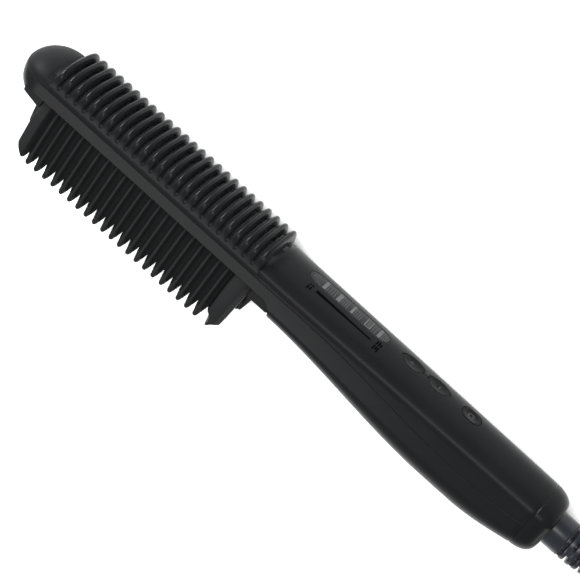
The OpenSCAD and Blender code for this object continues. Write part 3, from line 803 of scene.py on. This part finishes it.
def makeHandleTop(sizes):
    xs = [splitX] + [i * 3.0 for i in range(-2, 42)] + [seamX - 0.35]
    rings = [plainRing(x) for x in xs] + [plainRing(seamX, 0.2)]
    piece = shellLoft("handleTop", rings, 50)
    arrow = [size + 2 * sizes["gap"] for size in sizes["arrow"]]
    power = [size + 2 * sizes["gap"] for size in sizes["power"]]
    outlines = [windowOutline(0.1), lensOutline(plusX, *arrow), lensOutline(minusX, *arrow),
                powerOutline(powerX, *power)]
    cut(piece, [slab("opening", outline, 2, 20) for outline in outlines])
    profile = [(0, 1.3), (2.0, 1.3), (2.15, 1.2), (2.25, 0.9), (2.3, 0.4)]
    boss = lathe("boss", profile, onAxis(sizes["boss"], comb["top"] - 2.2), (0, 1, 0))
    return softShade(joined("handleTop", [piece, boss]), 35)


def bellyRing(x, inset=0.0):
    a, d = halfAt(x) - inset, depthAt(x) - inset
    share = ahead(x)
    foot = partingAt(x)
    shoulder = min(foot - 0.05, -comb["flank"] * d * (1.1 - share))
    outer = arch(a, foot, shoulder, -d, comb["roundness"], 1 - 0.8 * share)
    if x <= noseX:
        inner = innerLine(a, foot)
    else:
        inner = innerArch(a - comb["wall"], foot, -comb["flank"] * d, comb["wall"] - d)
    return shellRing(x, outer, inner)


recess = {
    "front": noseX - 6.9, "frontRound": 2.5, "back": 0.5, "backRound": 5.5, "top": -5.2, "halfFrame": 12.3,
}


def recessOutline(sizes):
    top, front, back = sizes["top"], sizes["front"], sizes["back"]
    r, turns = sizes["frontRound"], [pi / 2 * i / 8 for i in range(9)]
    points = [(front + r - r * cos(turn), top - r + r * sin(turn)) for turn in turns]
    r, turns = sizes["backRound"], [pi / 2 * i / 14 for i in range(15)]
    points += [(back - r + r * sin(turn), top - r + r * cos(turn)) for turn in turns]
    return points + [(back, -30), (front, -30)]


def sideSlab(name, outline, near, far):  # an outline in x and height, drawn out across the comb
    return loft(name, [[laid(x, y, z) for x, z in outline] for y in (near, far)])


def makeBelly(sizes):
    xs = noseStations(26) + [noseX, noseX + 0.15, noseX + 6, -100, -80, -60, -40, -20]
    xs += [-12.2, -11.8, -9, -6, -3] + [i * 3.0 for i in range(42)] + [seamX - 0.35]
    rings = [bellyRing(x) for x in xs] + [bellyRing(seamX, 0.2)]
    piece = shellLoft("bellyShell", rings, 60)
    half = sizes["halfFrame"]
    pocket = rectangle(sizes["front"], -20, noseX + 1.2, 1)
    recessCut = sideSlab("recessCut", recessOutline(sizes), -30, 30)
    cut(piece, [recessCut, sideSlab("pocketCut", pocket, -half, half)])
    return softShade(piece, 35)


settle(makeRibbedHead(ribs), ribbedPlastic, "housing", "upper_housing")
settle(makeHandleTop(openings), housingPlastic, "housing", "upper_housing")
settle(makeBelly(recess), housingPlastic, "housing", "lower_housing")
print("housings made")

capSizes = {"round": 4.6, "bore": 7.55, "lip": 1.3, "lipDepth": 3.5}


def capRing(x, inset, steps=24):
    a, t, power = halfAt(x) - inset, comb["top"] - inset, comb["roundness"]
    d = depthAt(min(x, seamX)) - inset
    flat = comb["sideFlat"]
    upper, lower = [], []
    for i in range(2 * steps + 1):
        turn = pi / 2 * i / steps
        side = -1 if turn > pi / 2 else 1
        turn = pi - turn if side < 0 else turn
        y, z = superPoint(a, t - flat, power, turn)
        upper.append((side * y, flat + z))
        y, z = superPoint(a, (1 - comb["flank"]) * d, power, turn)
        lower.append((-side * y, -comb["flank"] * d - z))
    return [laid(x, y, z) for y, z in upper + lower]


def makeCap(sizes):
    r, lip = sizes["round"], comb["wall"] + sizes["lip"]
    rings = [capRing(seamX - sizes["lipDepth"], lip), capRing(seamX, lip)]
    rings += [capRing(seamX, 0.28), capRing(seamX + 0.35, 0.04)]
    for i in range(2, 17):
        turn = pi / 2 * i / 16
        rings.append(capRing(seamX + comb["capLength"] * sin(turn), r - r * cos(turn)))
    piece = loft("endCap", rings, smooth=50)
    bore = lathe("bore", [(0, sizes["bore"]), (30, sizes["bore"])], onAxis(seamX - 10))
    cut(piece, [bore])
    return softShade(piece, 35)


settle(makeCap(capSizes), housingPlastic, "housing", "end_cap")

swivel = {  # radii, and lengths along the comb
    "collar": 7.5, "collarSunk": 3.8, "core": 3.35, "sleeve": 3.3, "sleeveOuter": 3.9, "webRoot": 3.2,
    "webHalf": 1.6, "endRadius": 4.5, "straight": 6.0, "pitch": 3.1, "slot": 1.3,
}


def makeCollar(sizes):
    r, end = sizes["collar"], sizes["collarSunk"] + comb["collarLength"]
    profile = [(0, r - 0.5), (0.3, r), (end - 0.35, r), (end - 0.1, r - 0.12), (end, r - 0.35),
               (end, sizes["core"]), (0, sizes["core"])]
    place = onAxis(endX - sizes["collarSunk"])
    flange = lathe("flange", [(-1.4, r + 1.6), (0.1, r + 1.6)], place)
    collar = lathe("collar", profile + profile[:1], place, sides=64)
    return softShade(joined("swivelCollar", [collar, flange]), 35)


def reliefBridges(place, start, end, reach, across, sizes):  # two webs that join the segments over a slot
    half, root = sizes["webHalf"], sizes["webRoot"]
    parts = []
    for side in (-1, 1):
        low, high = (side * root, side * reach) if across else (-half, half)
        near, far = (-half, half) if across else (side * root, side * reach)
        web = rectangle(near, low, far, high)
        rings = [[(place + Vector((x, y, z))) / 1000 for y, z in web] for x in (start, end)]
        parts.append(loft("bridge", rings))
    return parts


def makeRelief(sizes):
    length, slot, sleeve = comb["reliefLength"], sizes["slot"], sizes["sleeve"]
    collar, straight = sizes["collar"], sizes["straight"]
    fall = (collar - sizes["endRadius"]) / (length - straight - 1)
    place = onAxis(endX + comb["collarLength"])
    count = int((length - 4) / sizes["pitch"])
    parts = []
    for i in range(count + 1):
        x0 = 0.6 + (i - 1) * sizes["pitch"] + slot if i else 0.03
        x1 = x0 + sizes["pitch"] - slot if i else 0.6
        if i == count:
            x1 = length
        edge = min(0.22, (x1 - x0) * 0.3)
        r0, r1 = (collar - max(0, x - straight) * fall for x in (x0, x1))
        profile = [(x0, sleeve), (x0, r0 - edge), (x0 + edge * 0.3, r0 - edge * 0.3), (x0 + edge, r0),
                   (x1 - edge, r1), (x1 - edge * 0.3, r1 - edge * 0.3), (x1, r1 - edge), (x1, sleeve)]
        parts.append(lathe("segment", profile, place, sides=64))
        if i < count:
            reach = collar - max(0, x1 + slot / 2 - straight) * fall - 0.25
            parts += reliefBridges(place, x1 - 0.2, x1 + slot + 0.2, reach, i % 2, sizes)
    outer = sizes["sleeveOuter"]
    profile = [(0.1, outer), (length - 0.3, outer), (length, 3.6), (length, sleeve), (0.1, sleeve)]
    profile.append(profile[0])
    parts.append(lathe("sleeve", profile, place))
    return softShade(joined("strainRelief", parts), 40)


reliefPlastic = mouldedPlastic("reliefPlastic", {
    "level": 0.004, "blue": 0.9, "rough": 0.3, "grain": 0.04, "specular": 0.3,
})
settle(makeCollar(swivel), reliefPlastic, "collar", "swivel_collar", body="swivel")
settle(makeRelief(swivel), reliefPlastic, "relief", "strain_relief", body="swivel")
print("cap and swivel made")

guard = {
    "frameHalf": 10.5, "frameDepth": 12.7, "pitch": 4.46, "first": noseX + 11.3, "count": 21, "flute": 2.6,
    "slotHalf": 6.1,
}
guardLevels = [  # height, width at the web, width of the outer edge, inner side, outer side
    (-5.5, 4.56, 0.9, 8.0, 14.0), (-6.4, 4.56, 1.1, 8.0, 14.45), (-13.0, 4.56, 1.1, 8.0, 14.25),
    (-21.0, 4.56, 1.1, 8.0, 13.55), (-28.4, 4.56, 1.15, 8.1, 12.9), (-29.6, 4.1, 1.5, 8.1, 12.8),
    (-30.7, 3.56, 1.9, 8.15, 12.7), (-31.9, 3.0, 2.1, 8.2, 12.55), (-32.9, 2.55, 2.05, 8.35, 12.4),
    (-33.7, 2.05, 1.8, 8.6, 12.2), (-34.25, 1.45, 1.3, 8.9, 11.95), (-34.5, 0.8, 0.7, 9.3, 11.6),
]
frontGuard = {"face": (0.6, 0.6, 3.0, 3.4), "levels": [  # each level: height, both ends, both sides
    (-5.5, -118.6, -112.6, 8.0, 14.0), (-6.4, -118.65, -112.6, 8.0, 14.45),
    (-13.0, -119.1, -112.6, 8.0, 14.25), (-14.2, -119.6, -112.6, 8.0, 14.15),
    (-21.0, -119.3, -112.65, 8.0, 13.55), (-28.4, -119.0, -112.7, 8.1, 12.85),
    (-29.2, -118.75, -113.0, 8.2, 12.75), (-30.15, -118.3, -113.35, 8.4, 12.6),
    (-31.4, -117.5, -113.6, 8.8, 12.4), (-32.5, -116.6, -113.8, 9.2, 12.2),
    (-33.3, -115.95, -114.05, 9.7, 11.9), (-33.7, -115.6, -114.2, 10.1, 11.6),
    (-33.9, -115.3, -114.5, 10.4, 11.3),
]}
backGuard = {"face": (1.6, 3.4, 1.7, 2.2), "levels": [
    (-5.5, -20.0, -10.7, 8.0, 13.9), (-6.4, -20.0, -10.7, 8.0, 14.45), (-13.0, -20.0, -10.9, 8.0, 14.25),
    (-21.0, -19.95, -11.3, 8.0, 13.55), (-28.1, -19.8, -11.7, 8.1, 12.9), (-28.7, -19.0, -11.75, 8.15, 12.85),
    (-29.3, -18.2, -11.8, 8.2, 12.8), (-30.8, -17.65, -11.9, 8.4, 12.6), (-31.6, -17.4, -12.6, 8.6, 12.5),
    (-32.4, -17.2, -13.4, 8.9, 12.3), (-33.3, -17.0, -14.5, 9.2, 12.0), (-34.0, -16.9, -15.1, 9.6, 11.8),
    (-34.4, -16.75, -15.5, 10.0, 11.5),
]}


def toothHalf(root, edge, inner, outer):  # half of a tooth's section, from the inner face to its outer edge
    a, b = root / 2, edge / 2
    web = max(inner + 0.35, outer - guard["flute"] * root / guard["pitch"])
    rise = outer - 0.35 - web
    return [(a * 0.92, inner), (a, inner + 0.2), (a, web), (b + (a - b) * 0.5, web + rise * 0.2),
            (b + (a - b) * 0.22, web + rise * 0.5), (b, outer - 0.35), (b * 0.55, outer)]


def guardTooth(centre, side):
    rings = []
    for z, *widths in guardLevels:
        half = toothHalf(*widths)
        outline = half + [(-x, y) for x, y in reversed(half)]
        rings.append([laid(centre + x, side * y, z) for x, y in outline])
    return loft("tooth", rings, smooth=50)


def endGuard(sizes, side):  # closes a row with a flat face that slopes away to both sides
    leftWidth, leftDepth, rightWidth, rightDepth = sizes["face"]
    rings = []
    for z, x0, x1, inner, outer in sizes["levels"]:
        wide, deep = x1 - x0, outer - inner
        left, leftFall = min(leftWidth, wide * 0.35), min(leftDepth, deep * 0.6)
        right, rightFall = min(rightWidth, wide * 0.4), min(rightDepth, deep * 0.6)
        outline = [
            (x1 - 0.15, inner), (x1, inner + 0.2), (x1, outer - rightFall), (x1 - right * 0.94, outer - 0.1),
            (x1 - right * 1.1, outer), (x0 + left * 1.15, outer), (x0 + left * 0.92, outer - 0.1),
            (x0, outer - leftFall), (x0, inner + 0.2), (x0 + 0.15, inner),
        ]
        rings.append([laid(x, side * y, z) for x, y in outline])
    return loft("endGuard", rings, smooth=32)


def makeGuard(sizes):
    depth = sizes["frameDepth"]
    profile = [(noseX + 0.5, -5.4), (noseX + 0.5, -11.3), (noseX + 1.6, -11.6), (noseX + 2.8, -depth),
               (-1.2, -depth), (-0.5, -depth + 0.4), (-0.05, -depth + 1.3), (-0.05, -5.4)]
    base = sideSlab("frameBase", profile, -sizes["frameHalf"], sizes["frameHalf"])
    bevelled(base, 0.5, 3)
    slot = rectangle(noseX - 0.6, -40, -8.4, 20)
    cut(base, [sideSlab("barSlot", slot, -sizes["slotHalf"], sizes["slotHalf"])])
    softShade(base, 35)
    heel = [(-6.5, -5.4), (-6.5, -9.3), (-6.0, -9.9), (0.9, -11.3), (2.2, -11.6), (2.9, -10.4), (3.2, -5.4)]
    front = bevelled(sideSlab("heel", [(noseX + x, z) for x, z in heel], -12, 12), 0.5, 3)
    cut(front, [sideSlab("heelSlot", slot, -sizes["slotHalf"], sizes["slotHalf"])])
    softShade(front, 35)
    parts = [base, front]
    flange = rectangle(noseX + 1, -5.3, -0.05, -3)
    parts += [sideSlab("flange", flange, near, far) for near, far in ((-13.6, -6.2), (6.2, 13.6))]
    for side in (-1, 1):
        parts += [guardTooth(sizes["first"] + i * sizes["pitch"], side) for i in range(sizes["count"])]
        parts += [endGuard(frontGuard, side), endGuard(backGuard, side)]
    return joined("guardComb", parts)


guardPlastic = mouldedPlastic("guardPlastic", {
    "level": 0.009, "blue": 0.05, "rough": 0.45, "grain": 0.35, "specular": 0.05,
})
settle(makeGuard(guard), guardPlastic, "guard", "guard_comb")

heated = {
    "last": -10.3, "pitch": guard["pitch"], "count": 26, "root": 3.7, "half": 5.0, "top": -12.4,
    "barHalf": 6.0, "barFoot": -12.7, "barTop": -7.05, "barEnd": -8.5, "wallTop": -4.0, "wallInner": 4.55,
}
heatedLevels = [  # fall below the bar, and the share of the width that is left
    (0.0, 1.0), (0.3, 0.99), (2.4, 0.88), (4.8, 0.73), (7, 0.57), (8.8, 0.42), (9.8, 0.31), (10.4, 0.2),
    (10.7, 0.06),
]


def heatedTooth(centre, sizes):
    rings = []
    for fall, share in heatedLevels:
        a = sizes["root"] / 2 * share
        half = sizes["half"] - 0.02 * fall - (0.6 if share < 0.1 else 0.25 if share < 0.2 else 0)
        edge = min(0.5, a * 0.7)
        outline = [(a, half - edge), (a - edge, half), (edge - a, half), (-a, half - edge),
                   (-a, edge - half), (edge - a, -half), (a - edge, -half), (a, edge - half)]
        rings.append([laid(centre + x, y, sizes["top"] - fall) for x, y in outline])
    return loft("heatedTooth", rings, smooth=50)


def makeHeated(sizes):
    half, top = sizes["barHalf"], sizes["barTop"]
    bar = rectangle(noseX - 0.5, sizes["barFoot"], sizes["barEnd"], top)
    wall = rectangle(noseX - 0.5, top - 0.15, sizes["barEnd"], sizes["wallTop"])
    parts = [bevelled(sideSlab("bar", bar, -half, half), 0.4)]
    parts += [sideSlab("wall", wall, side * sizes["wallInner"], side * half) for side in (-1, 1)]
    parts += [heatedTooth(sizes["last"] - i * sizes["pitch"], sizes) for i in range(sizes["count"])]
    return joined("heatedComb", parts)


heatedCoat = grained(
    "heatedCoat", (700.0, 3.0), tone(0.007), tone(0.012), (0.36, 0.14), (0.25, 0.00004),
    metallic=0.1, specular=0.1,
)
settle(makeHeated(heated), heatedCoat, "heated", "heated_comb")
print("comb made")


def inlay(name, x0, x1, y0, y1, heightAt, sink=0.06):  # a thin patch that follows a surface
    ys = [y0 + (y1 - y0) * j / 4 for j in range(5)]
    rings = []
    for x in (x0, x1):
        ring = [laid(x, y, heightAt(x, y) + 0.03) for y in ys]
        rings.append(ring + [laid(x, y, heightAt(x, y) - sink) for y in reversed(ys)])
    return loft(name, rings, smooth=30)


def glassAt(x, y):
    return surfaceAt(x, y) - 0.12


def makeWindow():
    x0, x1, r = openings["window"]
    rings = []
    for share, sink in ((1, None), (1, 0.08), (0.985, 0), (0.8, 0), (0.55, 0), (0.3, 0), (0.06, 0)):
        ring = []
        for x, y in windowOutline(0):
            middle = min(max(x, x0 + r), x1 - r)
            x, y = middle + (x - middle) * share, y * share
            ring.append(laid(x, y, openings["windowFoot"] if sink is None else glassAt(x, y) - sink))
        rings.append(ring)
    return loft("displayWindow", rings, smooth=40)


smoked = grained("smokedWindow", (120.0, 3.0), tone(0.01, 0.1), tone(0.015, 0.1), (0.22, 0.06), specular=0.06)
settle(makeWindow(), smoked, "window", "display_window")

barSizes = {
    "half": 3.1, "frame": 0.5, "hatch": 0.42, "dot": 0.45, "dots": (3.9, 4.8, 5.7, 6.6, 7.5),
    "box": (30.4, 33.4, 34.2, 35.8),
    "groups": (
        (9.1, 10.6, 11.1, 15.0), (16.1, 17.8, 18.3, 21.4), (23.3, 24.4, 24.9, 28.2), (36.9, 38.3, 38.8, 41.6),
    ),
}


def makeBars(sizes):
    bright, dim = [], []

    def patch(kind, a, b, c, d):
        room = windowHalf((a + b) / 2) - 0.5
        if room > 0.3:
            kind.append(inlay("bar", a, b, max(c, -room), min(d, room), glassAt, 0.05))

    half = sizes["half"]
    for start, end, first, last in sizes["groups"]:
        patch(bright, start, end, -half, half)
        for i in range(4):
            x = first + (last - first - 0.4) * i / 3
            patch(dim, x, x + sizes["hatch"], -half * 0.96, half * 0.96)
    edge = sizes["frame"]
    start, end, first, last = sizes["box"]
    patch(bright, start, start + edge, -half, half)
    patch(bright, end - edge, end, -half, half)
    patch(bright, start, end, half - edge, half)
    patch(bright, start, end, -half, edge - half)
    patch(dim, start + 0.9, end - 0.9, -half + 1, half - 1)
    patch(dim, first, first + 0.4, -half, half)
    patch(dim, last - 0.4, last, -half, half)
    for i, x in enumerate(sizes["dots"]):
        reach = 0.9 + 0.5 * i
        for j in range(4):
            y = -reach + 2 * reach * j / 3
            patch(dim, x, x + sizes["dot"], y - 0.3, y + 0.3)
    return joined("levelBars", bright), joined("levelHatch", dim)


barInk = printedInk("barInk", 0.06, 0.09, 900.0, 0.6)
hatchInk = printedInk("hatchInk", 0.035, 0.055, 900.0, 0.6)
levelBars, levelHatch = makeBars(barSizes)
settle(levelBars, barInk, "window")
settle(levelHatch, hatchInk, "window")

scaleSizes = {
    "across": -7.1, "start": 8.8, "end": 36.4, "half": 0.5, "mark": 1.2,
    "marks": ((4.9, 1.8, 0.9), (6.1, 1.5, 1.1), (38.7, 2.2, 1.9), (39.7, 1.7, 2.1), (40.6, 2.3, 1.6)),
}


def makeScale(sizes):
    y = sizes["across"]
    xs = [sizes["start"] + (sizes["end"] - sizes["start"]) * i / 12 for i in range(13)]
    parts = []
    for i in range(12):
        half = sizes["half"] * (1.5 - 0.07 * i)
        parts.append(inlay("line", xs[i], xs[i + 1], y - half, y + half, surfaceAt))
    for x, below, above in sizes["marks"]:
        low, high = y - sizes["mark"] * below, y + sizes["mark"] * above
        parts.append(inlay("mark", x, x + 0.7, low, y - 0.25, surfaceAt))
        parts.append(inlay("mark", x + 0.15, x + 0.85, y + 0.3, high, surfaceAt))
    return joined("heatScale", parts)


darkInk = printedInk("darkInk", 0.001, 0.002, 1200.0, 0.7, 0.1)
settle(makeScale(scaleSizes), darkInk, "housing")
print("display made")

nodes = frame["nodes"]
keyGloss = mouldedPlastic("keyGloss", {
    "level": 0.003, "blue": 0.1, "rough": 0.2, "grain": 0.05, "specular": 0.04,
})
for name in ("plus_key", "minus_key", "power_key"):
    paint(rounded(nodes[name], 0.12), keyGloss)

keyMarks = {"arm": 1.15, "half": 0.24, "low": 8.0, "high": 8.46, "ring": 1.35}


def makeSign(name, centre, upright, sizes):
    arm, half, low, high = sizes["arm"], sizes["half"], sizes["low"], sizes["high"]
    parts = [block("bar", (centre - half, -arm, low), (centre + half, arm, high))]
    if upright:
        parts.append(block("bar", (centre - arm, -half, low), (centre + arm, half, high)))
    return softShade(joined(name, parts), 35)


def makePowerSign(centre, sizes):
    half, low, high, r = sizes["half"], sizes["low"], sizes["high"] + 0.02, sizes["ring"]
    section = rectangle(r - half, low, r + half, high)
    rings = []
    for i in range(25):
        turn = radians(35 + 290 * i / 24)
        c, s = cos(turn), sin(turn)
        rings.append([laid(centre + c * reach, s * reach, z) for reach, z in section])
    bar = block("bar", (centre + 0.2, -half, low), (centre + r + 0.35, half, high))
    return softShade(joined("powerSign", [loft("arc", rings), bar]), 35)


signInk = printedInk("signInk", 0.03, 0.05, 1500.0, 0.5)
settle(makeSign("plusSign", plusX - 0.6, True, keyMarks), signInk, "key", body="plus_key")
settle(makeSign("minusSign", minusX + 0.6, False, keyMarks), signInk, "key", body="minus_key")
settle(makePowerSign(powerX, keyMarks), signInk, "key", body="power_key")
print("keys made")


def circuitBoard():
    shader = Shader("circuitBoard")
    place = shader.place()
    settings = {"feature": "DISTANCE_TO_EDGE"}
    cells = shader.node("ShaderNodeTexVoronoi", settings, {"Vector": place, "Scale": 420.0})
    track = cells.math("LESS_THAN", 0.09)
    cloud = shader.noise(60.0, 3.0)
    mask = shader.blend(cloud, (0.008, 0.05, 0.018, 1), (0.012, 0.075, 0.026, 1))
    shader.set(color=shader.blend(track, mask, (0.02, 0.13, 0.05, 1)), roughness=0.3 + track * 0.12)
    shader.bump(track, 0.2, 0.00005)
    return shader


metals = {  # material, rounding, tone and roughness
    "heater_clamp": ("clampSteel", 0.12, 0.42, 0.32), "thermal_fuse": ("fuseCan", 0.3, 0.6, 0.28),
    "comb_screws": ("screwSteel", 0.12, 0.35, 0.3), "board_screws": ("boardScrewSteel", 0.12, 0.35, 0.3),
    "heater_leads": ("leadNickel", 0, 0.5, 0.35),
}
others = {  # material, rounding, two tones, size of the mottling and roughness
    "ceramic_heater": ("ceramicWhite", 0.15, (0.62, 0.6, 0.55, 1), (0.75, 0.73, 0.68, 1), 800.0, 0.55),
    "mica_sheet": ("mica", 0, (0.28, 0.22, 0.13, 1), (0.45, 0.37, 0.24, 1), 400.0, 0.3),
    "thermistor": ("beadResin", 0.3, (0.45, 0.3, 0.1, 1), (0.55, 0.4, 0.16, 1), 900.0, 0.25),
    "board_parts": ("epoxyCase", 0.2, tone(0.015), tone(0.028), 1200.0, 0.42),
    "tact_switches": ("switchCase", 0.2, tone(0.03), tone(0.05), 1200.0, 0.4),
    "display_module": ("moduleWhite", 0.2, tone(0.5), tone(0.62), 700.0, 0.5),
    "contact_block": ("blockNylon", 0.4, (0.5, 0.48, 0.42, 1), (0.6, 0.58, 0.51, 1), 500.0, 0.5),
    "supply_leads": ("wireSleeve", 0, (0.2, 0.05, 0.02, 1), (0.28, 0.08, 0.03, 1), 900.0, 0.4),
}
for table, makeFinish in ((metals, brushedMetal), (others, mottled)):
    for name, (material, edge, *finish) in table.items():
        paint(nodes[name], makeFinish(material, *finish))
        if edge:
            rounded(nodes[name], edge)
paint(rounded(nodes["main_board"], 0.1), circuitBoard())
print("inside parts painted")

lamps = {  # place in the row frame, size across and along, watts
    "crest": ((-0.95, 0.62, 0.32), (0.12, 0.6), 25.0),
    "shoulder": ((0.0, 0.46, 0.86), (1.1, 0.18), 8.0),
    "toothSide": ((-0.25, -0.5, 0.86), (0.6, 0.2), 4.4),
    "guardEdge": ((0.9, -0.5, 0.16), (0.24, 0.2), 1.6),
}
lampTarget = (-0.03, 0, 0.01)
worldStrength = 0.92

for name, (place, size, power) in lamps.items():
    light = bpy.data.lights.new(name, "AREA")
    light.shape = "RECTANGLE"
    light.size, light.size_y = size
    light.energy = power
    lamp = linked(name, light)
    lamp.location = place
    lamp.rotation_euler = (Vector(lampTarget) - Vector(place)).to_track_quat("-Z", "Y").to_euler()
world = bpy.data.worlds.new("studio")
world.use_nodes = True
background = world.node_tree.nodes["Background"].inputs
background["Color"].default_value = (1, 1, 1, 1)
background["Strength"].default_value = worldStrength
scene.world = world
scene.view_settings.view_transform = "Standard"
print("lights made")
